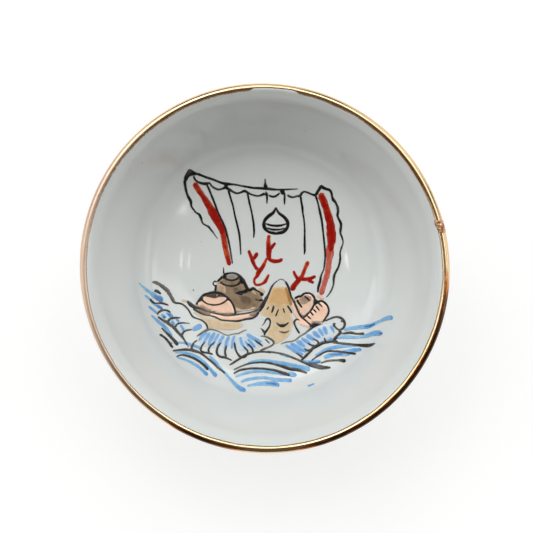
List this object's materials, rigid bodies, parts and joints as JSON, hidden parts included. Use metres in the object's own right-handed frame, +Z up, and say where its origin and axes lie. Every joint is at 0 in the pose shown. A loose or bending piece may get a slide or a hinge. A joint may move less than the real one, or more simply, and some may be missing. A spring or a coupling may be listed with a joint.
{
  "type": "sake cup",
  "caption": "Small white porcelain sake cup with a flared gilded lip, a foot ring, and a treasure ship in overglaze enamels on the floor of the bowl.",
  "frame": {"origin": "centre of the circle on which the foot ring stands, at the lowest point of the cup", "axes": "+Z up along the axis of the cup, from the foot to the mouth; +Y towards the top of the painting, +X towards its right"},
  "size_m": [0.06, 0.06, 0.0272],
  "materials": {
    "porcelain": "bare fired porcelain, fine matt surface",
    "clear_glaze": "clear gloss glaze over white porcelain, very slightly cool",
    "bright_gold": "liquid bright gold, fired to a mirror gloss, with brush wear",
    "thick_gold": "gold pooled where the brush started and stopped, coppery brown",
    "black_enamel": "black overglaze line enamel, satin",
    "red_enamel": "iron red overglaze enamel, thin and satin",
    "blue_enamel": "translucent blue overglaze enamel, glossy",
    "tan_enamel": "thin tan wash, satin",
    "shell_gold": "matt powdered gold, peach toned",
    "umber_enamel": "grey brown overglaze wash, satin"
  },
  "bodies": {
    "root": {"porcelain_body": "porcelain", "glaze_coat": "clear_glaze", "foot_well_glaze": "clear_glaze", "lip_gilding": "bright_gold", "gilding_join": "thick_gold", "black_wave_1": "black_enamel", "black_wave_10": "black_enamel", "black_wave_11": "black_enamel", "black_wave_12": "black_enamel", "black_wave_2": "black_enamel", "black_wave_3": "black_enamel", "black_wave_4": "black_enamel", "black_wave_5": "black_enamel", "black_wave_6": "black_enamel", "black_wave_7": "black_enamel", "black_wave_8": "black_enamel", "black_wave_9": "black_enamel", "blue_wave_1": "blue_enamel", "blue_wave_10": "blue_enamel", "blue_wave_11": "blue_enamel", "blue_wave_12": "blue_enamel", "blue_wave_13": "blue_enamel", "blue_wave_14": "blue_enamel", "blue_wave_15": "blue_enamel", "blue_wave_2": "blue_enamel", "blue_wave_3": "blue_enamel", "blue_wave_4": "blue_enamel", "blue_wave_5": "blue_enamel", "blue_wave_6": "blue_enamel", "blue_wave_7": "blue_enamel", "blue_wave_8": "blue_enamel", "blue_wave_9": "blue_enamel", "gold_rim": "shell_gold", "gold_shell_left": "shell_gold", "gold_shell_left_lines": "black_enamel", "gold_shell_right_front": "shell_gold", "gold_shell_right_lines": "black_enamel", "gold_shell_right_rear": "shell_gold", "grey_shell": "umber_enamel", "grey_shell_lines": "black_enamel", "hull_lines": "black_enamel", "red_band_left": "red_enamel", "red_band_right": "red_enamel", "red_coral_left": "red_enamel", "red_coral_right": "red_enamel", "sail_lines": "black_enamel", "tan_cone": "tan_enamel", "tan_cone_lines": "black_enamel", "tan_hull": "tan_enamel", "wave_crest_left": "black_enamel", "wave_crest_right": "black_enamel", "wave_curl_left": "black_enamel", "wish_jewel": "black_enamel"}
  },
  "joints": []
}
